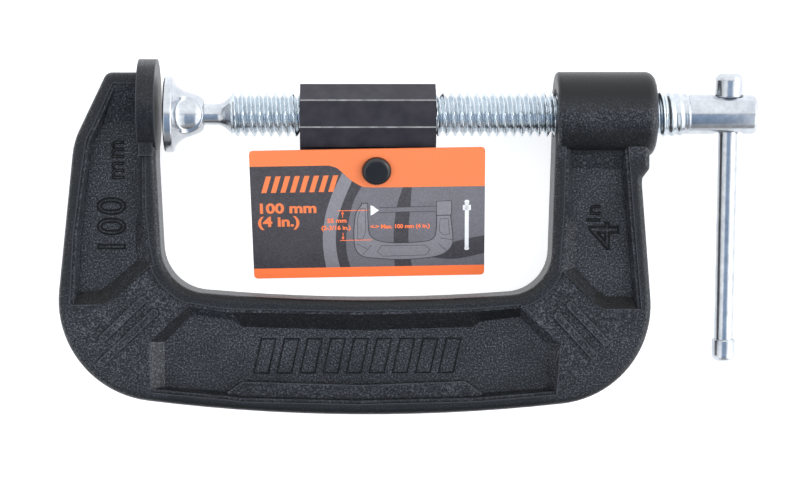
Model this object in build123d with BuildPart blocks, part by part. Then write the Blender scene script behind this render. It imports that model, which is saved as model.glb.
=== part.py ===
from build123d import *
import os

os.makedirs("parts", exist_ok=True)

# C clamp lying flat: screw axis along X, fixed jaw face at X = 0, thickness along Z.

# casting
HALF = 8.5            # half the thickness of the rims
LEDGE = 7.8           # height of the narrow ledge round each recessed panel
LEDGE_W = 0.9
RIB_TOP = 9.2         # height of the diagonal ribs on the corner blocks
FLOOR = 4.5           # height of the recessed panel floors
STEP = 6.2            # height of the step along the outer side of the spine panel
RIM = 4.2             # width of the raised rims
EDGE = 2.0            # rounding of the outer edges
DISC_R = 14.3         # anvil disc
DISC_T = 5.4
DISC_Y = 2.2
FOOT_Y = -12.1        # lower end of the square foot of the disc
FOOT_HALF = 9.8       # half its thickness
BOSS_R = 12.75        # nut boss
BOSS_X0 = 118.7
BOSS_X1 = 148.4
RIB_W = 2.2           # diagonal ribs on the corner blocks

# spindle
CLEAR = 0.05          # running clearance on radius
THREAD_R = 6.75       # over the thread
THREAD_X0 = 22.3
THREAD_X1 = 157.2
NECK_R = 3.1
HEAD_R = 6.0
HEAD_X1 = 178.9
BALL_X = 9.3
BALL_R = 4.8
NECK_X0 = 13.05

# swivel pad
PAD_X0 = 2.1
PAD_R = 11.3
PAD_T = 2.8
PAD_X1 = 13.7
MOUTH_R = 4.0

# tommy bar
BAR_X = 170.75
BAR_R = 2.95
BAR_TILT = 4.5        # the lower end leans towards the table
SEAT = 5.15           # flats on the head beside the cross hole
CAP1_R = 4.15
CAP1_L = 7.2
CAP2_R = 3.6
CAP2_L = 7.0
CAP2_AT = 68.2

# card
CARD = 0.5            # thickness of the folded card
SLEEVE_X0 = 42.4
SLEEVE_X1 = 82.8
TAG_W = 70.0
TAG_H = 42.3
TAG_T = 0.55
TAG_X = 62.3
TAG_Y = -10.35
TAG_Z = 7.35
TAG_LEAN = 23.0
TAG_TURN = 1.06
RIVET_DX = 2.7
RIVET_DOWN = 6.9
RIVET_R = 4.4
STUD_R = 1.75


def outline():
    """Side view of the casting, arms and spine without disc and boss."""
    with BuildSketch(Plane.XY) as sk:
        with BuildLine():
            Line((0, 12.4), (-14.4, 12.4))
            Line((-14.4, 12.4), (-24.25, -8.0))
            Line((-24.25, -8.0), (-32.0, -80.4))
            ThreePointArc((-32.0, -80.4), (64.1, -89.3), (149.0, -82.4))
            Line((149.0, -82.4), (144.0, -20.5))
            Line((144.0, -20.5), (144.1, -18.9))
            Line((144.1, -18.9), (146.2, -16.1))
            Line((146.2, -16.1), (146.2, 0))
            Line((146.2, 0), (118.4, 0))
            Line((118.4, 0), (116.8, -52.6))
            ThreePointArc((116.8, -52.6), (63.9, -55.1), (1.8, -51.6))
            Line((1.8, -51.6), (0, -14.0))
            Line((0, -14.0), (0, 12.4))
        make_face()
        rounds = [((-14.4, 12.4), 2.6), ((-24.25, -8.0), 22.0), ((-32.0, -80.4), 30.0)]
        rounds += [((149.0, -82.4), 29.4), ((144.1, -18.9), 1.6), ((146.2, -16.1), 1.6)]
        rounds += [((116.8, -52.6), 13.0), ((1.8, -51.6), 14.0)]
        for spot, radius in rounds:
            fillet(sk.vertices().sort_by_distance(spot)[0], radius)
    return sk.sketch


# each panel: matching corners of the opening and of the floor
LEFT_TOP = [
    (-11.9, 8.2), (-17.3, -3.5), (-19.5, -7.9), (-21.3, -19.4), (-23.5, -36.0), (-24.6, -56.3),
    (-16.3, -56.2), (-13.2, -54.6), (-1.9, -44.6), (-3.2, -37.2), (-3.9, -30.5), (-4.1, -27.0), (-4.2, 8.2),
]
LEFT_FLOOR = [
    (-15.6, -2.6), (-16.5, -4.1), (-18.8, -8.5), (-20.6, -19.8), (-22.6, -36.5), (-23.3, -52.6),
    (-18.3, -52.4), (-15.7, -51.3), (-6.1, -43.3), (-6.5, -40.3), (-6.3, -31.4), (-4.8, -28.6), (-4.8, -2.6),
]
SPINE_TOP = [
    (-2.3, -67.3), (9.1, -56.6), (18.2, -58.1), (21.9, -58.5), (59.4, -59.3), (93.4, -58.6),
    (96.9, -58.3), (108.0, -57.4), (119.9, -68.2), (118.6, -82.4), (96.4, -84.2), (92.4, -84.4),
    (59.4, -85.1), (24.9, -84.2), (20.8, -83.6), (-1.9, -81.4),
]
SPINE_FLOOR = [
    (2.0, -67.7), (10.4, -59.4), (22.7, -61.3), (25.2, -63.2), (60.4, -64.3), (93.8, -63.4),
    (96.1, -61.7), (107.9, -60.4), (116.1, -68.6), (116.1, -81.9), (96.6, -83.3), (91.6, -83.6),
    (60.4, -84.3), (25.3, -83.4), (20.6, -82.6), (2.0, -81.1),
]
SPINE_STEP = [
    (20.6, -82.6), (25.3, -79.5), (60.4, -80.6), (91.6, -79.5), (96.6, -83.3),
    (95.0, -85.2), (60.4, -86.1), (22.0, -85.0),
]
RIGHT_TOP = [
    (122.2, -9.0), (121.7, -28.5), (121.5, -32.5), (120.4, -46.6), (129.8, -56.0),
    (132.8, -57.8), (142.9, -57.8), (140.5, -31.4), (138.7, -9.0),
]
RIGHT_FLOOR = [
    (123.6, -16.1), (123.6, -29.3), (125.1, -32.9), (124.3, -45.5), (131.1, -52.6),
    (134.0, -54.3), (141.7, -54.4), (139.4, -28.2), (138.0, -16.1),
]
PANELS = [(LEFT_TOP, LEFT_FLOOR), (SPINE_TOP, SPINE_FLOOR), (RIGHT_TOP, RIGHT_FLOOR)]

# each corner block: its outline, then the height at X = Y = 0 and the slopes along X and Y of its face,
# which is level with the rim at the outer edge and sinks towards the rim of the throat
LEFT_BLOCK = [
    (-40, -56.3), (-16.3, -56.2), (-13.2, -54.6), (-1.9, -44.6), (2.5, -44.6), (9.1, -50.0), (9.1, -56.6),
    (-2.3, -67.3), (-1.9, -81.4), (-1.9, -95), (-40, -95),
]
RIGHT_BLOCK = [
    (160, -57.8), (132.8, -57.8), (129.8, -56.0), (120.4, -46.6), (116.0, -46.6), (108.0, -50.0), (108.0, -57.4),
    (119.9, -68.2), (118.6, -82.4), (118.6, -95), (160, -95),
]
BLOCKS = [(LEFT_BLOCK, 6.6, -0.0219, -0.0204), (RIGHT_BLOCK, 4.12, 0.0207, -0.0216)]

# each rib: the two ends of its centre line
RIBS = [
    ((-3.4, -54.1), (-16.6, -66.8)), ((0.1, -57.8), (-17.2, -74.2)),
    ((121.8, -55.8), (133.9, -68.4)), ((118.1, -59.0), (130.4, -72.5)),
]

with BuildPart() as frame:
    with BuildSketch(Plane.XY.offset(-HALF)):
        add(outline())
    extrude(amount=2 * HALF)
    fillet(frame.faces().sort_by(Axis.Z)[-1].edges(), EDGE)
    fillet(frame.faces().sort_by(Axis.Z)[0].edges(), EDGE)
    for side in (1, -1):
        with BuildSketch(Plane.XY, mode=Mode.PRIVATE) as inside:
            add(outline())
            offset(amount=-RIM, kind=Kind.INTERSECTION, mode=Mode.REPLACE)
        for block, height, slope_x, slope_y in BLOCKS:
            face = Plane(origin=(0, 0, side * height), x_dir=(1, 0, side * slope_x),
                         z_dir=(-side * slope_x, -side * slope_y, 1))
            with BuildSketch(face):
                Polygon(*block, align=None)
                add(inside.sketch, mode=Mode.INTERSECT)
            extrude(amount=side * 3, mode=Mode.SUBTRACT)
        for top, floor in PANELS:
            with BuildSketch(Plane.XY.offset(side * LEDGE)):
                Polygon(*top, align=None)
                offset(amount=LEDGE_W, kind=Kind.INTERSECTION, mode=Mode.REPLACE)
                for block, height, slope_x, slope_y in BLOCKS:
                    Polygon(*block, align=None, mode=Mode.SUBTRACT)
            extrude(amount=side * 2, mode=Mode.SUBTRACT)
            with BuildSketch(Plane.XY.offset(side * FLOOR)) as low:
                Polygon(*floor, align=None)
            with BuildSketch(Plane.XY.offset(side * LEDGE)) as high:
                Polygon(*top, align=None)
            loft([low.sketch.faces()[0], high.sketch.faces()[0]], ruled=True, mode=Mode.SUBTRACT)
            with BuildSketch(Plane.XY.offset(side * (LEDGE - 0.01))):
                Polygon(*top, align=None)
            extrude(amount=side * 2, mode=Mode.SUBTRACT)
        with BuildSketch(Plane.XY.offset(side * (FLOOR - 0.5))):
            Polygon(*SPINE_STEP, align=None)
        extrude(amount=side * (STEP - FLOOR + 0.5))
        for start, end in RIBS:
            length = (Vector(*end) - Vector(*start)).length
            turn = (Vector(*end) - Vector(*start)).get_signed_angle(Vector(1, 0, 0), Vector(0, 0, -1))
            middle = (Vector(*start) + Vector(*end)) * 0.5
            with BuildSketch(Plane.XY.offset(side * (LEDGE - 0.5))):
                with Locations(Location((middle.X, middle.Y, 0), (0, 0, turn))):
                    SlotOverall(length, RIB_W)
            extrude(amount=side * (RIB_TOP - LEDGE + 0.5))
    # anvil disc, face flush with the inner side of the arm
    with BuildSketch(Plane.YZ.offset(-DISC_T)):
        with Locations((DISC_Y, 0)):
            Circle(DISC_R)
    extrude(amount=DISC_T)
    with Locations((0.4 - DISC_T / 2 - 0.6, (FOOT_Y + DISC_Y) / 2, 0)):
        Box(DISC_T - 1.2, DISC_Y - FOOT_Y, 2 * FOOT_HALF)
    # nut boss and its bore
    with BuildSketch(Plane.XY):
        with BuildLine():
            Line((BOSS_X0, 0), (BOSS_X0, BOSS_R - 1.2))
            ThreePointArc((BOSS_X0, BOSS_R - 1.2), (BOSS_X0 + 0.35, BOSS_R - 0.35), (BOSS_X0 + 1.2, BOSS_R))
            Line((BOSS_X0 + 1.2, BOSS_R), (BOSS_X1 - 3, BOSS_R))
            ThreePointArc((BOSS_X1 - 3, BOSS_R), (BOSS_X1 - 0.88, BOSS_R - 0.88), (BOSS_X1, BOSS_R - 3))
            Line((BOSS_X1, BOSS_R - 3), (BOSS_X1, 0))
            Line((BOSS_X1, 0), (BOSS_X0, 0))
        make_face()
    revolve(axis=Axis.X)
    with BuildSketch(Plane.YZ.offset(100)):
        Circle(THREAD_R + CLEAR)
    extrude(amount=60, mode=Mode.SUBTRACT)
    for x0, x1 in ((BOSS_X0, BOSS_X0 + 1.1), (BOSS_X1, BOSS_X1 - 1.1)):
        with BuildSketch(Plane.XY):
            Polygon((x0, 0), (x0, THREAD_R + 1.1), (x1, THREAD_R), (x1, 0), align=None)
        revolve(axis=Axis.X, mode=Mode.SUBTRACT)
frame.part.label = "frame"
export_step(frame.part, "parts/frame.step")

BAR_AXIS = Plane(origin=(BAR_X, 0, 0), x_dir=(1, 0, 0), z_dir=Vector(0, 1, 0).rotate(Axis.X, BAR_TILT))

with BuildPart() as screw:
    with BuildSketch(Plane.XY):
        with BuildLine():
            Line((NECK_X0, 0), (NECK_X0, NECK_R))
            Line((NECK_X0, NECK_R), (THREAD_X0 - 3.9, NECK_R))
            Line((THREAD_X0 - 3.9, NECK_R), (THREAD_X0 - 3.4, NECK_R + 0.9))
            Line((THREAD_X0 - 3.4, NECK_R + 0.9), (THREAD_X0, THREAD_R))
            Line((THREAD_X0, THREAD_R), (THREAD_X1, THREAD_R))
            Line((THREAD_X1, THREAD_R), (THREAD_X1 + 1.6, HEAD_R))
            Line((THREAD_X1 + 1.6, HEAD_R), (HEAD_X1 - 1, HEAD_R))
            Line((HEAD_X1 - 1, HEAD_R), (HEAD_X1, HEAD_R - 1))
            Line((HEAD_X1, HEAD_R - 1), (HEAD_X1, 0))
            Line((HEAD_X1, 0), (NECK_X0, 0))
        make_face()
    revolve(axis=Axis.X)
    with BuildSketch(BAR_AXIS.offset(-10)):
        Circle(BAR_R + CLEAR)
    extrude(amount=20, mode=Mode.SUBTRACT)
    for away in (SEAT, -SEAT):
        with BuildSketch(BAR_AXIS.offset(away)):
            Circle(CAP1_R + 0.5)
        extrude(amount=3 if away > 0 else -3, mode=Mode.SUBTRACT)
screw.part.label = "screw"
export_step(screw.part, "parts/screw.step")

with BuildPart() as screw_ball:
    with Locations((BALL_X, 0, 0)):
        Sphere(BALL_R)
    split(bisect_by=Plane.YZ.offset(NECK_X0 - 0.05), keep=Keep.BOTTOM)
screw_ball.part.label = "screw_ball"
export_step(screw_ball.part, "parts/screw_ball.step")

with BuildPart() as swivel_pad:
    with BuildSketch(Plane.XY):
        with BuildLine():
            Line((PAD_X0, 0), (PAD_X0, PAD_R - 0.5))
            Line((PAD_X0, PAD_R - 0.5), (PAD_X0 + 0.5, PAD_R))
            Line((PAD_X0 + 0.5, PAD_R), (PAD_X0 + PAD_T - 0.4, PAD_R))
            Line((PAD_X0 + PAD_T - 0.4, PAD_R), (PAD_X0 + PAD_T, PAD_R - 0.4))
            ThreePointArc((PAD_X0 + PAD_T, PAD_R - 0.4), (6.9, 7.7), (11.1, 6.1))
            ThreePointArc((11.1, 6.1), (12.8, 5.55), (PAD_X1, 4.6))
            Line((PAD_X1, 4.6), (PAD_X1, 0))
            Line((PAD_X1, 0), (PAD_X0, 0))
        make_face()
    revolve(axis=Axis.X)
    with Locations((BALL_X, 0, 0)):
        Sphere(BALL_R + CLEAR, mode=Mode.SUBTRACT)
    with BuildSketch(Plane.YZ.offset(BALL_X)):
        Circle(MOUTH_R)
    extrude(amount=10, mode=Mode.SUBTRACT)
swivel_pad.part.label = "swivel_pad"
export_step(swivel_pad.part, "parts/swivel_pad.step")

with BuildPart() as t_bar:
    with BuildSketch(BAR_AXIS.offset(-CAP2_AT - CAP2_L + 1.5)):
        Circle(BAR_R)
    extrude(amount=CAP2_AT + CAP2_L - 1.5 + 5.2 + CAP1_L - 1.5)
t_bar.part.label = "t_bar"
export_step(t_bar.part, "parts/t_bar.step")

with BuildPart() as bar_cap_upper:
    with BuildSketch(BAR_AXIS.offset(5.2)):
        Circle(CAP1_R)
    extrude(amount=CAP1_L)
    fillet(bar_cap_upper.edges().group_by(Axis.Y)[-1], 2.2)
    fillet(bar_cap_upper.edges().group_by(Axis.Y)[0], 0.6)
    with BuildSketch(BAR_AXIS.offset(5.2)):
        Circle(BAR_R)
    extrude(amount=CAP1_L - 1.5, mode=Mode.SUBTRACT)
bar_cap_upper.part.label = "bar_cap_upper"
export_step(bar_cap_upper.part, "parts/bar_cap_upper.step")

with BuildPart() as bar_cap_lower:
    with BuildSketch(BAR_AXIS.offset(-CAP2_AT)):
        Circle(CAP2_R)
    extrude(amount=-CAP2_L)
    fillet(bar_cap_lower.edges().group_by(Axis.Y)[0], 2.2)
    fillet(bar_cap_lower.edges().group_by(Axis.Y)[-1], 0.5)
    with BuildSketch(BAR_AXIS.offset(-CAP2_AT)):
        Circle(BAR_R)
    extrude(amount=-(CAP2_L - 1.5), mode=Mode.SUBTRACT)
bar_cap_lower.part.label = "bar_cap_lower"
export_step(bar_cap_lower.part, "parts/bar_cap_lower.step")

# centre line of the folded card round the screw, seen along X as (Y, Z)
FOLDS = [(-9.6, 5.1), (-3.75, 7.5), (4.2, 7.5), (8.9, 0.6), (4.4, -7.5), (-4.0, -7.7), (-10.4, 3.9)]

with BuildPart() as card_sleeve:
    with BuildSketch(Plane.YZ.offset(SLEEVE_X0)):
        for near, far in zip(FOLDS, FOLDS[1:]):
            span = Vector(*far) - Vector(*near)
            turn = span.get_signed_angle(Vector(1, 0, 0), Vector(0, 0, -1))
            with Locations(Location(((near[0] + far[0]) / 2, (near[1] + far[1]) / 2, 0), (0, 0, turn))):
                Rectangle(span.length, CARD)
        with Locations(*FOLDS[1:-1]):
            Circle(CARD / 2)
    extrude(amount=SLEEVE_X1 - SLEEVE_X0)
card_sleeve.part.label = "card_sleeve"
export_step(card_sleeve.part, "parts/card_sleeve.step")

# the tag's own plane: origin at the middle of its top edge on the printed face, y up the tag
TAG = Plane(
    origin=(TAG_X, TAG_Y, TAG_Z),
    x_dir=Vector(1, 0, 0).rotate(Axis.Z, TAG_TURN).rotate(Axis.X, TAG_LEAN),
    z_dir=Vector(0, 0, 1).rotate(Axis.X, TAG_LEAN),
)

with BuildPart() as hang_tag:
    with BuildSketch(TAG.offset(-TAG_T)):
        with Locations((0, -TAG_H / 2)):
            RectangleRounded(TAG_W, TAG_H, 1.2)
        with Locations((RIVET_DX, -RIVET_DOWN)):
            Circle(STUD_R + 0.1, mode=Mode.SUBTRACT)
    extrude(amount=TAG_T)
hang_tag.part.label = "hang_tag"
export_step(hang_tag.part, "parts/hang_tag.step")

with BuildPart() as card_flaps:
    with BuildSketch(TAG.offset(-TAG_T - 0.05)):
        with BuildLine():
            Polyline((-20.2, -1.2), (20.2, -1.2), (20.2, -9.0), (14.0, -15.0), (-14.0, -15.0),
                     (-20.2, -9.0), close=True)
        make_face()
        with Locations((RIVET_DX, -RIVET_DOWN)):
            Circle(STUD_R + 0.1, mode=Mode.SUBTRACT)
    extrude(amount=-2 * CARD)
card_flaps.part.label = "card_flaps"
export_step(card_flaps.part, "parts/card_flaps.step")

STACK = TAG_T + 0.05 + 2 * CARD

with BuildPart() as rivet_head:
    with BuildSketch(TAG.offset(0.02)):
        with Locations((RIVET_DX, -RIVET_DOWN)):
            Circle(RIVET_R)
    extrude(amount=1.7)
    fillet(rivet_head.edges().sort_by(Axis(TAG.origin, TAG.z_dir))[-1], 1.3)
    with BuildSketch(TAG.offset(-STACK - 1.0)):
        with Locations((RIVET_DX, -RIVET_DOWN)):
            Circle(STUD_R)
    extrude(amount=STACK + 1.1)
rivet_head.part.label = "rivet_head"
export_step(rivet_head.part, "parts/rivet_head.step")

with BuildPart() as rivet_cap:
    with BuildSketch(TAG.offset(-STACK - 0.05)):
        with Locations((RIVET_DX, -RIVET_DOWN)):
            Circle(RIVET_R)
    extrude(amount=-1.6)
    fillet(rivet_cap.edges().sort_by(Axis(TAG.origin, TAG.z_dir))[0], 1.1)
    with BuildSketch(TAG.offset(-STACK - 0.05)):
        with Locations((RIVET_DX, -RIVET_DOWN)):
            Circle(STUD_R)
    extrude(amount=-0.95, mode=Mode.SUBTRACT)
rivet_cap.part.label = "rivet_cap"
export_step(rivet_cap.part, "parts/rivet_cap.step")
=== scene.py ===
import math

import bmesh
import bpy
from mathutils import Matrix, Vector


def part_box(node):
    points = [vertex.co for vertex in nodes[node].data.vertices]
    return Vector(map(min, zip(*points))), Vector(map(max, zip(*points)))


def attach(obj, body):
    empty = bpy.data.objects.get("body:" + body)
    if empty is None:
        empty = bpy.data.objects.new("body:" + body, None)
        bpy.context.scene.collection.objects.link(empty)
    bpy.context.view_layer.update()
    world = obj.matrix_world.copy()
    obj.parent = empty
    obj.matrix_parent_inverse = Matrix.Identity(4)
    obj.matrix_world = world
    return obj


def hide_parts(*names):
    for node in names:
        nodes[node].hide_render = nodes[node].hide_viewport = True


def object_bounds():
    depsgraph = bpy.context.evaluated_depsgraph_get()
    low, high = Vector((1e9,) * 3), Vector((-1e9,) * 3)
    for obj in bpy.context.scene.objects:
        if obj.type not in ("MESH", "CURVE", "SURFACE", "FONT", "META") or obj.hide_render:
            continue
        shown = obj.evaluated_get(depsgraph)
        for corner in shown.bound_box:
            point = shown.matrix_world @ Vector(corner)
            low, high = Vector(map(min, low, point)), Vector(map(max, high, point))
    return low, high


MM = 0.001

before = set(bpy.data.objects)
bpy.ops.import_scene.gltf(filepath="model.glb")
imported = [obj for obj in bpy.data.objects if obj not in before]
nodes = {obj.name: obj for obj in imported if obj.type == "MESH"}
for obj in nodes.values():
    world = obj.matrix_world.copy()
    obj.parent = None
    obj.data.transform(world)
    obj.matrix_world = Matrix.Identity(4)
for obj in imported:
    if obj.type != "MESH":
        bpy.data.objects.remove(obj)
cad_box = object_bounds()


def span(node):
    """Lowest and highest corner of a CAD node in millimetres."""
    low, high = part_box(node)
    return Vector(low) / MM, Vector(high) / MM


# ---------------------------------------------------------------- materials


class Look:
    """A Principled material with a short way to add nodes."""

    def __init__(self, name, color, rough, metal=0.0):
        self.mat = bpy.data.materials.new(name)
        self.mat.use_nodes = True
        self.tree = self.mat.node_tree
        self.bsdf = self.tree.nodes["Principled BSDF"]
        self.bsdf.inputs["Base Color"].default_value = (*color, 1)
        self.bsdf.inputs["Roughness"].default_value = rough
        self.bsdf.inputs["Metallic"].default_value = metal
        self.mat.diffuse_color = (*color, 1)

    def node(self, kind, **values):
        node = self.tree.nodes.new(kind)
        for key, value in values.items():
            setattr(node, key, value)
        return node

    def link(self, a, b):
        self.tree.links.new(a, b)

    def coords(self, scale=(1, 1, 1)):
        where = self.node("ShaderNodeTexCoord")
        mapping = self.node("ShaderNodeMapping")
        mapping.inputs["Scale"].default_value = scale
        self.link(where.outputs["Object"], mapping.inputs["Vector"])
        return mapping.outputs["Vector"]

    def noise(self, scale, detail=3, rough=0.5, stretch=(1, 1, 1)):
        tex = self.node("ShaderNodeTexNoise")
        tex.inputs["Scale"].default_value = scale
        tex.inputs["Detail"].default_value = detail
        tex.inputs["Roughness"].default_value = rough
        self.link(self.coords(stretch), tex.inputs["Vector"])
        return tex.outputs["Fac"]

    def cells(self, scale):
        tex = self.node("ShaderNodeTexVoronoi")
        tex.inputs["Scale"].default_value = scale
        self.link(self.coords(), tex.inputs["Vector"])
        return tex.outputs["Distance"]

    def math(self, op, a, b=0.0):
        """One step of arithmetic; a and b are numbers or other nodes' outputs."""
        node = self.node("ShaderNodeMath", operation=op)
        for i, value in enumerate((a, b)):
            if isinstance(value, (int, float)):
                node.inputs[i].default_value = value
            else:
                self.link(value, node.inputs[i])
        return node.outputs[0]

    def times(self, a, b):
        return self.math("MULTIPLY", a, b)

    def plus(self, a, b):
        return self.math("ADD", a, b)

    def minus(self, a, b):
        return self.math("SUBTRACT", a, b)

    def larger(self, a, b):
        return self.math("MAXIMUM", a, b)

    def smaller(self, a, b):
        return self.math("MINIMUM", a, b)

    def axes(self, output):
        """X, Y and Z of a point ("Object") or of the direction that the surface faces ("Normal")."""
        where = self.node("ShaderNodeTexCoord")
        split = self.node("ShaderNodeSeparateXYZ")
        self.link(where.outputs[output], split.inputs[0])
        return tuple(split.outputs)

    def openness(self, reach, **kind):
        """1 on an open face, less where another face is within reach, in millimetres."""
        node = self.node("ShaderNodeAmbientOcclusion", samples=6, **kind)
        node.inputs["Distance"].default_value = reach * MM
        return node.outputs["AO"]

    def blend(self, amount, a, b):
        """a where amount is 0 and b where it is 1; each is a colour or another node's output."""
        node = self.node("ShaderNodeMix", data_type="RGBA")
        self.link(amount, node.inputs["Factor"])
        for name, value in (("A", a), ("B", b)):
            if isinstance(value, tuple):
                node.inputs[name].default_value = (*value, 1)
            else:
                self.link(value, node.inputs[name])
        return node.outputs["Result"]

    def ramp(self, fac, stops):
        node = self.node("ShaderNodeValToRGB")
        while len(node.color_ramp.elements) < len(stops):
            node.color_ramp.elements.new(0.5)
        for element, (at, color) in zip(node.color_ramp.elements, stops):
            element.position = at
            element.color = (*color, 1)
        self.link(fac, node.inputs["Fac"])
        return node.outputs["Color"]

    def color(self, socket):
        self.link(socket, self.bsdf.inputs["Base Color"])

    def rough(self, socket):
        self.link(socket, self.bsdf.inputs["Roughness"])

    def bump(self, height, distance, strength=1.0):
        node = self.node("ShaderNodeBump")
        node.inputs["Strength"].default_value = strength
        node.inputs["Distance"].default_value = distance
        self.link(height, node.inputs["Height"])
        self.link(node.outputs["Normal"], self.bsdf.inputs["Normal"])

    def step(self, value, start, end, low, high):
        """low at start and before, high at end and beyond, straight between."""
        node = self.node("ShaderNodeMapRange")
        for name, number in (("From Min", start), ("From Max", end), ("To Min", low), ("To Max", high)):
            node.inputs[name].default_value = number
        self.link(value, node.inputs["Value"])
        return node.outputs["Result"]

    def over(self, place, stretch, low=0.0, high=1.0):
        """low to high over a stretch of one coordinate, in millimetres."""
        start, end = stretch
        return self.step(place, start * MM, end * MM, low, high)

    def range(self, fac, low, high):
        return self.step(fac, 0.0, 1.0, low, high)

    def specular(self, level):
        self.bsdf.inputs["Specular IOR Level"].default_value = level


# where the coat of the casting and its painted shade change, in millimetres
RIGHT_ARM_X = (116, 118)
TURNED_Y = (-1, 5)
BOSS_Y = (-14, -11)
ROUND_Y = (-13, -11)
BELOW_BOSS_Y = (-14, -20)
LEFT_CORNER_X = (6, -2)
RIGHT_CORNER_X = (112, 120)
CORNER_Y = (-50, -60)
SPINE_Y = (-68, -84)
RIM_Z = (7.9, 8.3)


def casting_look():
    """Black powder coat over a sand casting: a fine orange-peel grain, smoother on the turned boss, with
    painted shade in the creases, on steep faces, on the rims and low on the spine, and a painted highlight on
    the edges."""
    look = Look("black_powder_coat", (0.022, 0.024, 0.029), 0.42)
    x, y, z = look.axes("Object")
    facing_x, facing_y, facing_z = look.axes("Normal")

    # parts of the casting, each 1 on the part and 0 elsewhere
    right_arm = look.over(x, RIGHT_ARM_X)
    turned = look.times(right_arm, look.over(y, TURNED_Y))
    boss = look.times(right_arm, look.over(y, BOSS_Y))
    corner = look.larger(look.over(x, LEFT_CORNER_X), look.over(x, RIGHT_CORNER_X))
    corner = look.times(corner, look.over(y, CORNER_Y))
    rim = look.over(look.math("ABSOLUTE", z), RIM_Z)
    rim = look.times(rim, look.minus(1.0, look.larger(corner, boss)))

    # the grain, calmer on the turned boss and on the rims
    calm = look.minus(1.0, look.larger(look.times(turned, 0.75), look.times(rim, 0.40)))
    fine = look.plus(look.times(look.noise(2000, 2, 0.65), 0.86), look.times(look.noise(90, 4, 0.6), 0.14))
    fine = look.plus(look.times(look.minus(fine, 0.5), calm), 0.5)
    grain = look.ramp(fine, [(0.37, (0.002, 0.0025, 0.004)), (0.50, (0.015, 0.017, 0.022)),
                             (0.57, (0.044, 0.048, 0.057)), (0.65, (0.098, 0.104, 0.118))])

    # painted shade: darker in creases, on steep faces except those that face the light, on the rims and low
    # on the spine
    steep = look.times(look.math("ABSOLUTE", facing_y), facing_z)
    to_light = look.times(look.smaller(facing_y, 0.0), look.smaller(facing_x, 0.0))
    painted_slope_shade = look.times(look.step(steep, 0.06, 0.42, 0.0, 0.78), look.step(to_light, 0.03, 0.10, 1.0, 0.1))
    round_boss = look.times(right_arm, look.over(y, ROUND_Y))
    painted_slope_shade = look.times(painted_slope_shade, look.larger(look.over(y, BELOW_BOSS_Y, 0.25, 1.0), round_boss))
    bright = look.times(look.step(look.openness(0.9), 0.42, 0.84, 0.30, 1.0), look.minus(1.0, painted_slope_shade))
    bright = look.times(bright, look.minus(1.0, look.times(rim, 0.45)))
    bright = look.times(bright, look.over(y, SPINE_Y, 1.0, 0.70))
    # painted shade: where bright is low, the grain gives way to near black
    coat = look.blend(bright, (0.0008, 0.0009, 0.0012), grain)

    # painted highlight: paler on the convex edges
    wear_and_painted_highlight = look.step(look.openness(0.7, only_local=True, inside=True), 0.80, 0.45, 0.0, 0.85)
    look.color(look.blend(wear_and_painted_highlight, coat, (0.070, 0.075, 0.086)))
    look.rough(look.range(look.noise(1900, 2), 0.26, 0.50))
    height = look.plus(look.noise(1900, 2, 0.6), look.times(look.cells(1500), 0.35))
    look.bump(look.times(height, calm), 0.00020, 0.8)
    look.specular(0.30)
    return look.mat


def ridge_look():
    """The same coat on the thin raised outlines, smooth, and darker than the rest of the casting: painted
    shade that makes them read as dark outlines.
    """
    look = Look("black_powder_ridge_painted_shade", (0.008, 0.009, 0.011), 0.36)
    cloud = look.noise(900, 2)
    look.color(look.ramp(cloud, [(0.35, (0.001, 0.001, 0.0015)), (0.70, (0.008, 0.009, 0.011))]))
    look.rough(look.range(cloud, 0.28, 0.46))
    look.bump(look.noise(1500, 2), 0.00012, 0.5)
    look.specular(0.16)
    return look.mat


def zinc_look(name, rings=False, thread=None):
    """Bright zinc plate: slightly milky, blue-white, with faint machining marks. thread is the stretch along
    X, in millimetres, that is brighter from being rolled."""
    look = Look(name, (0.50, 0.52, 0.55), 0.26, 1.0)
    cloud = look.noise(220, 4, 0.65)
    plate = look.ramp(cloud, [(0.28, (0.40, 0.425, 0.465)), (0.72, (0.60, 0.62, 0.645))])
    if thread:
        start, end = thread
        x = look.axes("Object")[0]
        rolled = look.times(look.over(x, (start - 1, start)), look.over(x, (end - 8, end), 1.0, 0.0))
        polished = look.ramp(cloud, [(0.28, (0.49, 0.545, 0.59)), (0.72, (0.66, 0.71, 0.75))])
        plate = look.blend(rolled, plate, polished)
    look.color(plate)
    look.rough(look.range(look.noise(600, 3), 0.13, 0.30))
    if rings:
        look.bump(look.noise(1500, 2, 0.5, (1, 0.03, 0.03)), 0.00001, 0.5)
    else:
        look.bump(look.noise(420, 2, 0.5), 0.00002, 0.45)
    return look.mat


def card_look(name, color, rough=0.55, grain=0.06):
    """Coated card: even print colour with a trace of paper grain."""
    look = Look(name, color, rough)
    tone = look.plus(look.times(look.noise(1500, 2, 0.7), 0.75), look.times(look.noise(120, 3, 0.6), 0.25))
    low = tuple(c * (1 - grain) for c in color)
    high = tuple(min(1, c * (1 + grain)) for c in color)
    look.color(look.ramp(tone, [(0.36, low), (0.64, high)]))
    look.rough(look.range(look.noise(700, 2), rough - 0.06, rough + 0.06))
    look.bump(look.noise(2600, 2, 0.5), 0.00002, 0.5)
    return look.mat


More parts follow.
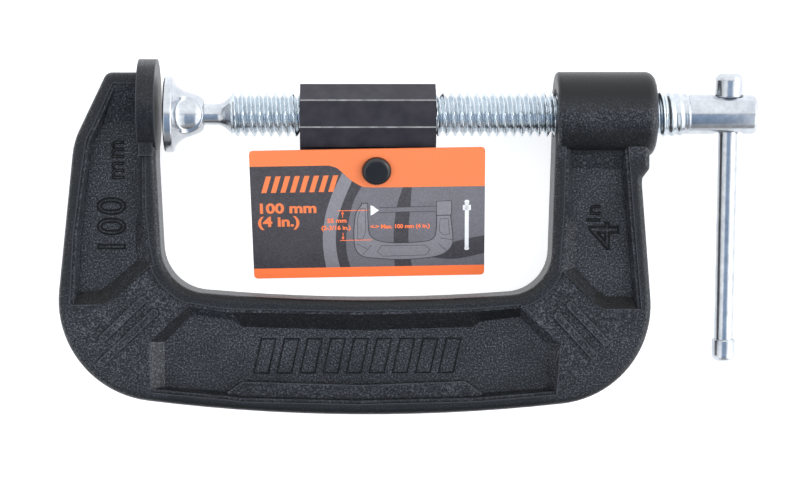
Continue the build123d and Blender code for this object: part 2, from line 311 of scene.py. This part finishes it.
def black_card_look(folds):
    """Black coated card, scuffed white along its folds. Each fold is (y, z, half width, strength)."""
    look = Look("black_card", (0.016, 0.016, 0.019), 0.42)
    _, y, z = look.axes("Object")
    wear_and_painted_highlight = 0.0
    for fold_y, fold_z, half, strength in folds:
        dy = look.math("ABSOLUTE", look.minus(y, fold_y * MM))
        dz = look.math("ABSOLUTE", look.minus(z, fold_z * MM))
        line = look.over(look.larger(dy, look.times(dz, 0.7)), (half, 0.35 * half), 0.0, strength)
        wear_and_painted_highlight = look.larger(wear_and_painted_highlight, line)
    broken = look.range(look.noise(900, 4, 0.7, (0.35, 1, 1)), -0.2, 1.7)
    wear_and_painted_highlight = look.times(wear_and_painted_highlight, look.smaller(look.larger(broken, 0.0), 1.0))
    card = look.ramp(look.noise(240, 3), [(0.3, (0.025, 0.023, 0.030)), (0.7, (0.039, 0.036, 0.044))])
    look.color(look.blend(wear_and_painted_highlight, card, (0.62, 0.62, 0.62)))
    look.rough(look.range(look.noise(500, 3), 0.34, 0.5))
    look.bump(look.noise(2200, 2), 0.00003, 0.6)
    look.specular(0.15)
    return look.mat


def plastic_look():
    """Glossy black plastic of the snap rivet."""
    look = Look("black_snap_plastic", (0.012, 0.012, 0.013), 0.18)
    look.rough(look.range(look.noise(400, 3), 0.12, 0.28))
    look.color(look.ramp(look.noise(120, 2), [(0.3, (0.010, 0.010, 0.011)), (0.7, (0.016, 0.016, 0.017))]))
    look.bump(look.noise(500, 2), 0.00003, 0.3)
    return look.mat


ORANGE = (0.95, 0.235, 0.078)
BAND = (1.0, 0.205, 0.063)
DARK = (0.063, 0.058, 0.066)
GREY = (0.182, 0.174, 0.196)
LIGHT = (0.262, 0.252, 0.278)
INK = (0.030, 0.029, 0.032)
WHITE = (0.97, 0.97, 0.98)

M_CAST = casting_look()
M_RIDGE = ridge_look()
M_ZINC = zinc_look("zinc_plate")
M_TURNED = zinc_look("zinc_turned", rings=True)
M_PLASTIC = plastic_look()
M_PRINT = {
    "orange": card_look("print_orange", ORANGE, 0.5, 0.03),
    "band": card_look("print_band", BAND, 0.5, 0.03),
    "dark": card_look("print_dark", DARK, 0.6, 0.30),
    "grey": card_look("print_grey", GREY, 0.6, 0.14),
    "light": card_look("print_light_grey", LIGHT, 0.6, 0.12),
    "ink": card_look("print_ink", INK, 0.6, 0.1),
    "white": card_look("print_white", WHITE, 0.5, 0.04),
}

# painted light: the band glows a little, to keep it bright where the casting shades the foot of the tag
band_painted_glow = M_PRINT["band"].node_tree.nodes["Principled BSDF"].inputs
band_painted_glow["Emission Color"].default_value = (1.0, 0.20, 0.06, 1)
band_painted_glow["Emission Strength"].default_value = 0.28


def paint(obj, mat):
    """Give obj one material."""
    obj.data.materials.clear()
    obj.data.materials.append(mat)


def mesh_object(name, verts, faces, mat):
    """A smooth-shaded object with its normals outwards; verts in millimetres."""
    mesh = bpy.data.meshes.new(name)
    mesh.from_pydata([tuple(Vector(v) * MM) for v in verts], [], faces)
    mesh.validate()
    obj = bpy.data.objects.new(name, mesh)
    bpy.context.scene.collection.objects.link(obj)
    bm = bmesh.new()
    bm.from_mesh(mesh)
    bmesh.ops.recalc_face_normals(bm, faces=bm.faces)
    bm.to_mesh(mesh)
    bm.free()
    for poly in mesh.polygons:
        poly.use_smooth = True
    obj.data.materials.append(mat)
    return obj


def baked(obj):
    """obj as a plain mesh with its modifiers applied."""
    bpy.context.view_layer.update()
    graph = bpy.context.evaluated_depsgraph_get()
    mesh = bpy.data.meshes.new_from_object(obj.evaluated_get(graph))
    name = obj.name
    if obj.type == "MESH":
        obj.modifiers.clear()
        obj.data = mesh
        return obj
    new = bpy.data.objects.new(name + "_m", mesh)
    new.matrix_world = obj.matrix_world.copy()
    bpy.context.scene.collection.objects.link(new)
    bpy.data.objects.remove(obj)
    new.name = name
    return new


def tube_faces(rings, steps):
    """Faces of a tube whose corners come ring after ring, steps corners to a ring, capped at both ends."""
    faces = []
    for i in range(rings - 1):
        for k in range(steps):
            n = (k + 1) % steps
            faces.append((i * steps + k, i * steps + n, (i + 1) * steps + n, (i + 1) * steps + k))
    faces.append(tuple(range(steps)))
    faces.append(tuple(reversed(range((rings - 1) * steps, rings * steps))))
    return faces


def lathe(name, profile, mat, steps, shape):
    """Surface of revolution about the X axis, from (x, radius) in millimetres. shape(x, radius, turn) gives
    the radius at each turn about the axis."""
    verts = []
    for x, r in profile:
        for k in range(steps):
            turn = 2 * math.pi * k / steps
            shaped = shape(x, r, turn)
            verts.append((x, shaped * math.cos(turn), shaped * math.sin(turn)))
    return mesh_object(name, verts, tube_faces(len(profile), steps), mat)


# ---------------------------------------------------------------- casting

casting = nodes["frame"]
paint(casting, M_CAST)
soft = casting.modifiers.new("edges", "BEVEL")
soft.width = 0.45 * MM
soft.segments = 2
soft.limit_method = "ANGLE"
soft.angle_limit = math.radians(28)
soft.use_clamp_overlap = True

PANEL_Z = 4.5


def on_casting(obj):
    """Bake a raised mark, give it the darker ridge coat, which is painted shade, and let it ride with the
    casting.
    """
    obj = baked(obj)
    paint(obj, M_RIDGE)
    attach(obj, "casting")


def outlined(name, text, size, at, turn, squeeze, z):
    """Raised outline letters on the casting, from the point at, turned by degrees; sizes in millimetres."""
    curve = bpy.data.curves.new(name, "FONT")
    curve.body = text
    curve.size = size * MM
    curve.fill_mode = "NONE"
    curve.bevel_depth = max(0.20, 0.025 * size) * MM
    curve.bevel_resolution = 2
    curve.resolution_u = 6
    curve.space_character = 1.12
    obj = bpy.data.objects.new(name, curve)
    bpy.context.scene.collection.objects.link(obj)
    place = Matrix.Translation(Vector((at[0], at[1], z)) * MM)
    scale = Matrix.Diagonal((squeeze[0], squeeze[1], 1, 1))
    obj.matrix_world = place @ Matrix.Rotation(math.radians(turn), 4, "Z") @ scale
    on_casting(obj)


def loop_ridge(name, loops, z, radius=0.30):
    """Raised closed outlines on the casting."""
    curve = bpy.data.curves.new(name, "CURVE")
    curve.dimensions = "3D"
    curve.bevel_depth = radius * MM
    curve.bevel_resolution = 2
    for points in loops:
        spline = curve.splines.new("POLY")
        spline.points.add(len(points) - 1)
        for point, (x, y) in zip(spline.points, points):
            point.co = (x * MM, y * MM, z * MM, 1)
        spline.use_cyclic_u = True
    obj = bpy.data.objects.new(name, curve)
    bpy.context.scene.collection.objects.link(obj)
    on_casting(obj)


outlined("size_mark_metric", "100", 11.6, (-9.6, -41.9), 90, (0.93, 1.0), PANEL_Z)
outlined("size_mark_mm", "mm", 7.6, (-9.8, -19.4), 90, (0.98, 1.0), PANEL_Z)
outlined("size_mark_inch", "4", 12.4, (137.3, -40.2), 90, (1.35, 1.0), PANEL_Z)
outlined("size_mark_in", "in", 6.2, (131.8, -32.2), 90, (1.15, 1.0), PANEL_Z)

# nine slanted outlines in a row along the spine
ROW_START, ROW_STEP = 28.5, 6.9
ROW_FOOT, ROW_TOP = -77.0, -66.8
WIDTH, SLANT = 4.3, 2.3
row = []
for k in range(9):
    x = ROW_START + ROW_STEP * k
    row.append([(x, ROW_FOOT), (x + WIDTH, ROW_FOOT), (x + WIDTH + SLANT, ROW_TOP), (x + SLANT, ROW_TOP)])
loop_ridge("spine_pattern", row, PANEL_Z)

# ---------------------------------------------------------------- screw

screw_low, screw_high = span("screw")
MAJOR = (screw_high.y - screw_low.y) / 2
PITCH = 2.5
DEEP = 1.62
CREST = 0.14
FLANK = 0.78
LEAD_IN = 1.2
RUN_OUT = 13.0
TAPER = 6.0
NECK = 3.1
NECK_CHAMFER = 0.15
HEAD = 6.0
x_thread = screw_low.x + 9.25
x_run = screw_low.x + 145.7
x_end = screw_high.x
bar_low, bar_high = span("t_bar")
bar_x = (bar_low.x + bar_high.x) / 2
BAR_D = 5.9
# the leaning bar's box is higher than its rise by nearly its own diameter
tilt = math.atan2(bar_high.z - bar_low.z - 0.99 * BAR_D, bar_high.y - bar_low.y)


def thread_depth(phase):
    """0 at the crest, 1 at the root, over one turn of a rolled thread with rounded flanks."""
    p = abs((phase % 1.0) - 0.5) * 2
    flank = min(1.0, max(0.0, (p - CREST) / FLANK))
    rounded = flank * flank * (3 - 2 * flank)
    return 1.0 - 0.35 * rounded - 0.65 * flank


def screw_mesh():
    """Neck, flare, thread that fades into the head, and head, from rings (x, radius, share of thread)."""
    steps = 60
    rows = [(screw_low.x, NECK - NECK_CHAMFER, 0.0), (screw_low.x + NECK_CHAMFER, NECK, 0.0)]
    flare = [(-4.6, NECK), (-3.9, 3.2), (-3.3, 3.45), (-2.7, 3.8),
             (-2.1, 4.2), (-1.5, 4.7), (-0.9, 5.3), (-0.3, HEAD)]
    for x, r in flare:
        rows.append((x_thread + x, r, 0.0))
    x = x_thread - 0.1
    while x < x_run + 0.01:
        lead = min(1.0, max(0.0, (x - x_thread + 0.5) / LEAD_IN))
        fade = min(1.0, max(0.0, (x_run - x) / RUN_OUT))
        outer = HEAD + (MAJOR - HEAD) * min(1.0, max(0.0, (x_run - x) / TAPER)) ** 0.7
        share = 1.0 if fade >= 1.0 else 0.22 + 0.78 * fade ** 2
        rows.append((x, min(outer, 6.2 + 0.55 * lead), lead * share))
        x += PITCH / 14
    rows.append((x_run + 0.3, HEAD, 0.0))
    for back, inward in ((14.5, 0), (13.9, 0), (1.3, 0), (0.75, 0.12), (0.3, 0.4), (0.05, 0.85), (0, 1.3)):
        rows.append((x_end - back, HEAD - inward, 0.0))
    verts = []
    for x, r, share in rows:
        for k in range(steps):
            turn = 2 * math.pi * k / steps
            radius = r - thread_depth(x / PITCH - k / steps) * DEEP * share
            verts.append((x, radius * math.cos(turn), radius * math.sin(turn)))
    return mesh_object("screw_threaded", verts, tube_faces(len(rows), steps), M_ZINC)


def rod_between(name, a, b, r, steps=40):
    """A capped rod, used as a cutter."""
    bm = bmesh.new()
    bmesh.ops.create_cone(bm, cap_ends=True, segments=steps, radius1=r * MM, radius2=r * MM,
                          depth=(b - a).length * MM)
    turn = (b - a).to_track_quat("Z", "Y").to_matrix().to_4x4()
    bmesh.ops.transform(bm, matrix=Matrix.Translation((a + b) / 2 * MM) @ turn, verts=bm.verts)
    mesh = bpy.data.meshes.new(name)
    bm.to_mesh(mesh)
    bm.free()
    obj = bpy.data.objects.new(name, mesh)
    bpy.context.scene.collection.objects.link(obj)
    return obj


def cut(obj, cutters):
    """Take the cutters away from obj."""
    for cutter in cutters:
        mod = obj.modifiers.new("cut", "BOOLEAN")
        mod.operation = "DIFFERENCE"
        mod.solver = "EXACT"
        mod.object = cutter
    baked(obj)
    for cutter in cutters:
        bpy.data.objects.remove(cutter)


screw = screw_mesh()
along = Vector((0, math.cos(tilt), math.sin(tilt)))
mid = Vector((bar_x, 0, 0))
HOLE_R = 3.02
FLAT_R = 4.7
FLAT_AT = 5.17
PAST_HEAD = 12
cut(screw, [
    rod_between("cross_hole", mid - along * PAST_HEAD, mid + along * PAST_HEAD, HOLE_R),
    rod_between("flat_above", mid + along * FLAT_AT, mid + along * PAST_HEAD, FLAT_R),
    rod_between("flat_below", mid - along * PAST_HEAD, mid - along * FLAT_AT, FLAT_R),
])
for poly in screw.data.polygons:
    poly.use_smooth = True
paint(screw, zinc_look("zinc_screw", thread=(x_thread, x_run)))
keep_edges = screw.modifiers.new("sharp", "EDGE_SPLIT")
keep_edges.split_angle = math.radians(42)
baked(screw)
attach(screw, "spindle")
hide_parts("screw")

for name in ("screw_ball", "t_bar", "bar_cap_upper", "bar_cap_lower"):
    paint(nodes[name], M_ZINC)

# ---------------------------------------------------------------- swivel pad

pad_low, pad_high = span("swivel_pad")
ball_low, ball_high = span("screw_ball")
ball_x = ball_low.x + (ball_high.y - ball_low.y) / 2
pad_face, pad_back = pad_low.x, pad_high.x
PAD_R = (pad_high.y - pad_low.y) / 2
HOLLOW_R = 4.86
LIP = math.radians(56)
CRIMP_HALF_LENGTH = 4.3
CRIMP_HALF_ANGLE = 0.95


def dents(x, r, turn):
    """Two oval crimps press the housing onto the ball from above and below."""
    if r < 4.5 or x < pad_face + 3.0 or x > pad_back - 0.4:
        return r
    wall = math.sqrt(max(0.0, HOLLOW_R ** 2 - (x - ball_x) ** 2)) + 0.25
    for middle in (0.25, 0.75):
        off = abs((turn / (2 * math.pi) - middle + 0.5) % 1.0 - 0.5) * 2 * math.pi
        inward = 1 - math.hypot((x - ball_x - 0.1) / CRIMP_HALF_LENGTH, off / CRIMP_HALF_ANGLE)
        if inward > 0:
            press = min(1.0, inward / 0.13)
            press = press * press * (3 - 2 * press)
            return max(r - press * (0.42 + 0.45 * max(0.0, r - 5.9)), min(r, wall))
    return r


# outside of the pad: distance from its face, and how far inside its full radius
foot = [(0, 0.6), (0.1, 0.25), (0.35, 0.03), (0.6, 0), (2.1, 0), (2.45, 0.05), (2.7, 0.25), (2.8, 0.5)]
bell = [(2.95, 1.2), (3.3, 1.9), (3.9, 2.75), (4.6, 3.4), (5.4, 3.95), (6.2, 4.35), (7.0, 4.6),
        (7.8, 4.85), (8.6, 5.1), (9.4, 5.4), (10.2, 5.75), (10.9, 6.2), (11.35, 6.6)]
profile = [(pad_face, 0.02), (pad_face, 6)]
profile += [(pad_face + x, PAD_R - inward) for x, inward in foot + bell]
profile += [(pad_back - 0.02, PAD_R - 7.0), (pad_back, PAD_R - 7.15)]
profile += [(pad_back - 0.25, 4.02), (pad_back - 0.9, 3.98), (pad_back - 1.6, 4.0)]
for k in range(1, 15):
    a = LIP + k * (math.pi - LIP) / 14
    profile.append((ball_x + HOLLOW_R * math.cos(a), max(0.02, HOLLOW_R * math.sin(a))))
# more rings over the bell, where the crimps are
rings = [profile[0]]
for (xa, ra), (xb, rb) in zip(profile, profile[1:]):
    parts = max(1, int(abs(xb - xa) / 0.22)) if xb > xa and xb > pad_face + 2.8 else 1
    for k in range(1, parts + 1):
        rings.append((xa + (xb - xa) * k / parts, ra + (rb - ra) * k / parts))
pad = lathe("pad_turned", rings, M_TURNED, 144, dents)
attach(pad, "pad")
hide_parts("swivel_pad")

# ---------------------------------------------------------------- card

front_folds = [(4.2, 7.7, 0.28, 0.55), (-3.75, 7.7, 0.28, 0.55)]
other_folds = [(9.1, 0.6, 0.3, 0.4), (4.4, -7.7, 0.3, 0.5), (-4.0, -7.9, 0.3, 0.5)]
paint(nodes["card_sleeve"], black_card_look(front_folds + other_folds))
paint(nodes["card_flaps"], card_look("black_card_plain", (0.018, 0.018, 0.021), 0.45, 0.2))
paint(nodes["rivet_head"], M_PLASTIC)
paint(nodes["rivet_cap"], M_PLASTIC)
paint(nodes["hang_tag"], M_PRINT["orange"])

# ---------------------------------------------------------------- print on the tag

TAG_W, TAG_H, TAG_T = 70.0, 42.3, 0.55
FIRST_INK, INK_STEP = 0.012, 0.010
BEHIND = 0.022
lean, turn = math.radians(23.0), math.radians(1.06)
tag_low, tag_high = span("hang_tag")
tag_turn = Matrix.Rotation(lean, 4, "X") @ Matrix.Rotation(turn, 4, "Z")
tag_mid = (tag_low + tag_high) / 2
tag_place = Matrix.Translation(tag_mid) @ tag_turn @ Matrix.Translation((0, TAG_H / 2, TAG_T / 2))


def layer_height(layer):
    """Height of a layer of print over the face of the tag, in millimetres."""
    return FIRST_INK + INK_STEP * layer


def printed(name, rings, ink, layer):
    """A flat patch of print on the tag. rings are closed outlines in the tag's own millimetres, with (0, 0)
    at the middle of its top edge; the rings share one mesh. A higher layer lies over a lower one."""
    bm = bmesh.new()
    for ring in rings:
        verts = [bm.verts.new(tag_place @ Vector((u, v, layer_height(layer))) * MM) for u, v in ring]
        face = bm.faces.new(verts)
        bmesh.ops.triangulate(bm, faces=[face])
    mesh = bpy.data.meshes.new(name)
    bm.to_mesh(mesh)
    bm.free()
    up = tag_place.to_3x3() @ Vector((0, 0, 1))
    if mesh.polygons and mesh.polygons[0].normal.dot(up) < 0:
        mesh.flip_normals()
    obj = bpy.data.objects.new(name, mesh)
    bpy.context.scene.collection.objects.link(obj)
    mesh.materials.append(M_PRINT[ink])
    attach(obj, "tag")
    return obj


def smooth(points, per=8):
    """Catmull-Rom curve through points."""
    out = []
    pts = [Vector(p) for p in points]
    pts = [pts[0] * 2 - pts[1]] + pts + [pts[-1] * 2 - pts[-2]]
    for a, b, c, d in zip(pts, pts[1:], pts[2:], pts[3:]):
        for k in range(per):
            t = k / per
            out.append(0.5 * ((2 * b) + (c - a) * t + (2 * a - 5 * b + 4 * c - d) * t * t
                              + (3 * b - a - 3 * c + d) * t * t * t))
    out.append(pts[-2])
    return [tuple(p) for p in out]


def stroke(points, width, closed=False):
    """Quads along a line, as rings for printed()."""
    pts = [Vector(p) for p in points]
    if closed:
        pts.append(pts[0])
    rings = []
    for a, b in zip(pts, pts[1:]):
        d = (b - a).normalized() * width / 2
        n = Vector((-d.y, d.x))
        start, end = a - d * 0.6, b + d * 0.6
        rings.append([tuple(start + n), tuple(end + n), tuple(end - n), tuple(start - n)])
    return rings


def arc_ring(rx, ry, cx, cy, steps=24):
    """A closed ellipse about (cx, cy)."""
    turns = [2 * math.pi * k / steps for k in range(steps)]
    return [(cx + rx * math.cos(turn), cy + ry * math.sin(turn)) for turn in turns]


def lettering(name, text, size, at, ink, layer, squeeze=1.0, bold=0.0):
    """Printed words on the tag, from the point at in the tag's own millimetres."""
    curve = bpy.data.curves.new(name, "FONT")
    curve.body = text
    curve.size = size * MM
    curve.offset = bold * MM
    curve.resolution_u = 4
    obj = bpy.data.objects.new(name, curve)
    bpy.context.scene.collection.objects.link(obj)
    scaled = tag_place.copy()
    scaled.translation = tag_place.translation * MM
    spot = Matrix.Translation(Vector((at[0], at[1], layer_height(layer))) * MM)
    obj.matrix_world = scaled @ spot @ Matrix.Diagonal((squeeze, 1, 1, 1))
    obj = baked(obj)
    paint(obj, M_PRINT[ink])
    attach(obj, "tag")


half = TAG_W / 2
inset = 0.15
side, top, bottom = half - inset, -inset, inset - TAG_H
back_outline = [(-side, top), (side, top), (side, bottom), (-side, bottom)]
back_sheet = printed("tag_back", [back_outline], "white", -(TAG_T + BEHIND + FIRST_INK) / INK_STEP)
back_sheet.data.flip_normals()

# grey and dark fields with curved edges, between the heading and the band along the foot
head_v, base_v = -5.0, -38.9
wave = smooth([(-11.4, head_v), (-9.0, -5.9), (-6.9, -8.0), (-4.4, -10.4), (-1.8, -12.0), (1.0, -12.45)])
field = [(-half, head_v)] + wave + [(half, -12.6), (half, base_v), (-half, base_v)]
printed("tag_field_grey", [field], "grey", 0)
arc1 = smooth([(-7.6, -7.6), (-10.8, -14.7), (-12.8, -21.2), (-13.8, -28.2), (-13.6, -34.6), (-13.0, base_v)])
arc2 = smooth([(-4.7, -10.2), (-7.4, -16.9), (-9.2, -22.8), (-9.9, -29.2), (-9.6, -34.6), (-8.8, base_v)])
arc3 = smooth([(-1.9, -12.0), (-4.5, -17.4), (-6.0, -23.9), (-6.8, -29.3), (-6.6, -34.7), (-5.7, base_v)])
arc4 = smooth([(10.5, -12.5), (8.8, -17.9), (7.7, -25.5), (7.5, -32.5), (7.8, base_v)])
arc5 = smooth([(13.1, -12.5), (12.7, -18.9), (12.2, -24.3), (12.0, -29.8), (12.5, -35.2), (13.0, base_v)])
dark_field = [(-half, head_v), (-11.4, head_v), (-9.0, -5.9), (-7.6, -7.3)] + arc1[1:] + [(-half, base_v)]
printed("tag_field_dark", [dark_field], "dark", 1)
printed("tag_ring_light", [arc1 + list(reversed(arc2))], "light", 1)
printed("tag_ring_dark", [arc2 + list(reversed(arc3))], "dark", 2)
printed("tag_ring_right", [arc4 + list(reversed(arc5))], "dark", 1)
swoosh = smooth([(16.0, -35.3), (21.0, -33.0), (27.0, -30.6), (half, -28.9)])
swoosh += smooth([(half, -34.9), (29.0, -36.3), (24.0, -36.7), (16.0, -35.6)])
printed("tag_swoosh", [swoosh], "dark", 1)

# band along the foot, with the tag's round corners
CORNER_R = 1.2
foot_v = 0.05 - TAG_H
edge_u = half - 0.05
round_foot = [(-edge_u, base_v), (edge_u, base_v)]
for corner_u, quarter in ((edge_u - CORNER_R, 0), (CORNER_R - edge_u, 1)):
    for k in range(7):
        a = -math.pi / 2 * (quarter + k / 6)
        round_foot.append((corner_u + CORNER_R * math.cos(a), foot_v + CORNER_R * (1 + math.sin(a))))
printed("tag_band", [round_foot], "band", 1)

STRIPE_STEP, STRIPE_WIDTH, STRIPE_SLANT = 2.85, 1.55, 1.6
STRIPE_FOOT, STRIPE_TOP = -13.6, -8.2
stripes = []
for k in range(8):
    u = -31.8 + STRIPE_STEP * k
    low, high = (u, u + STRIPE_WIDTH), (u + STRIPE_SLANT + STRIPE_WIDTH, u + STRIPE_SLANT)
    stripes.append([(c, STRIPE_FOOT) for c in low] + [(c, STRIPE_TOP) for c in high])
printed("tag_stripes", stripes, "orange", 3)
for name, text, v in (("tag_size_metric", "100 mm", -20.3), ("tag_size_inch", "(4 in.)", -24.7)):
    lettering(name, text, 4.5, (-33.3, v), "orange", 3, 1.20, 0.17)
lettering("tag_depth_metric", "55 mm", 1.9, (-12.4, -23.8), "band", 4, 1.1, 0.06)
lettering("tag_depth_inch", "(2-3/16 in.)", 1.9, (-14.2, -26.2), "band", 4, 1.05, 0.06)
lettering("tag_reach", "<-> Max. 100 mm (4 in.)", 1.85, (0.5, -26.0), "band", 4, 0.98, 0.06)

rules = stroke([(-9.1, -19.9), (0.1, -19.9)], 0.22) + stroke([(-8.6, -29.8), (1.0, -29.8)], 0.22)
rules += stroke([(-7.7, -20.3), (-7.7, -22.2)], 0.2) + stroke([(-7.7, -27.3), (-7.7, -29.3)], 0.2)
rules += [[(-7.7, -20.1), (-8.15, -21.0), (-7.25, -21.0)], [(-7.7, -29.6), (-8.15, -28.7), (-7.25, -28.7)]]
printed("tag_rules", rules, "band", 4)

# small drawing of a clamp on the tag
outer = smooth([(-2.0, -18.2), (-3.6, -20.6), (-4.3, -25.0), (-4.4, -30.0), (-3.9, -33.0),
                (-2.0, -35.2), (2.0, -36.0), (10.0, -36.6), (18.0, -36.1), (22.5, -34.9),
                (25.0, -32.4), (25.4, -29.0), (24.7, -22.0)], 5)
inner = smooth([(20.6, -22.0), (20.5, -26.0), (19.9, -29.0), (18.0, -30.4), (13.0, -30.9),
                (7.0, -30.9), (2.6, -30.0), (0.4, -28.0), (-0.1, -24.0), (-0.1, -18.0)], 5)
body = [(-2.0, -17.6)] + outer + inner + [(-0.1, -17.6)]


def spread(points, count):
    """count points evenly along a line, by index."""
    out = []
    for k in range(count):
        at = k * (len(points) - 1) / (count - 1)
        i = min(int(at), len(points) - 2)
        out.append(tuple(Vector(points[i]).lerp(Vector(points[i + 1]), at - i)))
    return out


outside = spread([(-2.0, -17.6)] + outer, 40)
inside = spread([(-0.1, -17.6)] + list(reversed(inner)), 40)
strips = [[a, b, d, c] for a, b, c, d in zip(outside, outside[1:], inside, inside[1:])]
printed("tag_clamp_fill", strips, "light", 3)
lines = stroke(body, 0.20, True)
boss_box = [(20.5, -17.3), (25.0, -17.2), (25.0, -21.9), (20.5, -22.0)]
lines += stroke(boss_box, 0.16, True)
spine_panel = [(3.9, -31.8), (17.0, -31.9), (18.5, -33.4), (17.2, -35.2), (4.2, -35.4), (2.6, -33.8)]
lines += stroke(spine_panel, 0.13, True)
for panel in ([(-3.3, -29.5), (-3.2, -22.5), (-2.2, -19.2), (-0.9, -19.2), (-0.8, -26.5), (-1.7, -29.5)],
              [(21.6, -23.2), (24.0, -23.1), (24.4, -28.4), (22.6, -28.6), (21.3, -27.2)]):
    lines += stroke(panel, 0.12, True)
for start, end in (((3.3, -19.1), (20.5, -18.9)), ((3.3, -20.7), (20.5, -20.6)),
                   ((-3.6, -31.0), (-0.6, -32.8)), ((-1.8, -34.6), (0.8, -31.6)),
                   ((23.7, -34.0), (20.9, -31.3)), ((25.2, -30.2), (21.6, -29.6))):
    lines += stroke([start, end], 0.14)
printed("tag_clamp_lines", lines, "ink", 5)
printed("tag_clamp_screw", [[(3.3, -19.2), (20.5, -19.0), (20.5, -20.5), (3.3, -20.6)],
                            [(25.0, -19.0), (28.4, -18.9), (28.4, -20.3), (25.0, -20.4)]], "grey", 4)
printed("tag_clamp_boss", [boss_box], "light", 4)
printed("tag_clamp_bar", [[(29.0, -17.9), (30.2, -17.9), (30.2, -33.2), (29.0, -33.2)],
                          [(28.4, -18.7), (30.8, -18.7), (30.8, -20.4), (28.4, -20.4)],
                          arc_ring(0.75, 0.62, 29.6, -17.6), arc_ring(0.75, 0.62, 29.6, -33.2)], "white", 4)
pad_sign = [(0.7, -18.3), (1.5, -18.5), (2.6, -19.5), (3.3, -19.9), (2.6, -20.4), (1.5, -21.3), (0.7, -21.6)]
printed("tag_clamp_pad", [pad_sign], "white", 6)

# ---------------------------------------------------------------- stage, light, camera

ground = cad_box[0][2]
HAIR = 0.00002
paper = Look("floor", (0.70, 0.70, 0.70), 0.8)
paper.color(paper.ramp(paper.noise(3, 2), [(0.3, (0.695, 0.695, 0.70)), (0.7, (0.705, 0.705, 0.71))]))
paper.bsdf.inputs["Emission Color"].default_value = (1, 1, 1, 1)
paper.bsdf.inputs["Emission Strength"].default_value = 0.65
bm = bmesh.new()
bmesh.ops.create_grid(bm, x_segments=1, y_segments=1, size=3.0)
mesh = bpy.data.meshes.new("floor")
bm.to_mesh(mesh)
bm.free()
floor = bpy.data.objects.new("floor", mesh)
floor.location = (0, 0, ground - HAIR)
mesh.materials.append(paper.mat)
bpy.context.scene.collection.objects.link(floor)

world = bpy.data.worlds.new("studio")
world.use_nodes = True
sky = world.node_tree
background = sky.nodes["Background"]
bpy.context.scene.world = world
bpy.context.scene.view_settings.view_transform = "Standard"
bpy.context.scene.view_settings.look = "None"


def sky_node(kind, inputs, **values):
    """A node in the world's tree; each input is a number or another node's output."""
    node = sky.nodes.new(kind)
    for key, value in values.items():
        setattr(node, key, value)
    for name, value in inputs.items():
        if isinstance(value, (int, float, tuple)):
            node.inputs[name].default_value = value
        else:
            sky.links.new(value, node.inputs[name])
    return node.outputs[0]


def sky_math(op, a, b=0.0):
    """Arithmetic in the world's tree."""
    return sky_node("ShaderNodeMath", {0: a, 1: b}, operation=op)


def sky_step(value, start, end, low, high):
    """Smooth change from low to high as value goes from start to end."""
    inputs = {"Value": value, "From Min": start, "From Max": end, "To Min": low, "To Max": high}
    return sky_node("ShaderNodeMapRange", inputs, interpolation_type="SMOOTHSTEP")


# a light tent: white all round, with a darker bluish opening overhead and a seam across it, a bright panel
# on the right, and dimmer towards the front and the left
place = sky.nodes.new("ShaderNodeTexCoord")
axes = sky.nodes.new("ShaderNodeSeparateXYZ")
sky.links.new(place.outputs["Generated"], axes.inputs[0])
dx, dy, _ = axes.outputs
HOLE_HALF_X, HOLE_HALF_Y = 0.38, 0.44
HOLE_MIDDLE_Y = -0.40
CLOTH = 1.50
SEAM_Y = 0.015
PANEL_X, PANEL_LIGHT = 0.84, 3.6
from_middle = sky_math("SUBTRACT", dy, HOLE_MIDDLE_Y)
across = sky_math("POWER", sky_math("ABSOLUTE", sky_math("DIVIDE", dx, HOLE_HALF_X)), 4.0)
down = sky_math("POWER", sky_math("ABSOLUTE", sky_math("DIVIDE", from_middle, HOLE_HALF_Y)), 4.0)
hole = sky_step(sky_math("ADD", across, down), 0.75, 1.30, 1.0, 0.0)
depth = sky_step(dy, 0.05, -0.75, 0.70, 0.46)
around = sky_math("MULTIPLY", sky_math("SUBTRACT", 1.0, hole), CLOTH)
tent = sky_math("ADD", sky_math("MULTIPLY", hole, depth), around)
seam = sky_math("ABSOLUTE", sky_math("SUBTRACT", dy, SEAM_Y))
tent = sky_math("MULTIPLY", tent, sky_step(seam, 0.018, 0.060, 0.25, 1.0))
tent = sky_math("MULTIPLY", tent, sky_step(dy, -0.70, -0.92, 1.0, 0.30))
tent = sky_math("MULTIPLY", tent, sky_step(dx, -0.62, -0.90, 1.0, 0.75))
tent = sky_math("MULTIPLY", tent, sky_step(dx, 0.45, 0.66, 1.0, 1.35))
off_panel = sky_math("ABSOLUTE", sky_math("SUBTRACT", dx, PANEL_X))
panel = sky_math("MULTIPLY", sky_step(off_panel, 0.07, 0.12, PANEL_LIGHT, 0.0),
                 sky_step(sky_math("ABSOLUTE", dy), 0.22, 0.34, 1.0, 0.0))
tent = sky_math("ADD", tent, panel)
sky.links.new(tent, background.inputs["Strength"])
tint = sky.nodes.new("ShaderNodeMix")
tint.data_type = "RGBA"
sky.links.new(hole, tint.inputs["Factor"])
tint.inputs["A"].default_value = (0.965, 0.98, 1.0, 1)
tint.inputs["B"].default_value = (0.62, 0.83, 1.14, 1)
sky.links.new(tint.outputs["Result"], background.inputs["Color"])

# looking almost straight down on the side of the clamp, turned a little towards the spine
camera = bpy.data.cameras.new("camera")
camera.sensor_width = 36
camera.lens = 97.7
camera.clip_start = 0.05
eye = Vector((56.6, -0.5, 650)) * MM
target = Vector((72.2, -38.5, 0)) * MM
cam = bpy.data.objects.new("camera", camera)
cam.location = eye
back = (eye - target).normalized()
right = Vector((0, 1, 0)).cross(back).normalized()
cam.rotation_euler = Matrix((right, back.cross(right), back)).transposed().to_euler()
bpy.context.scene.collection.objects.link(cam)
bpy.context.scene.camera = cam
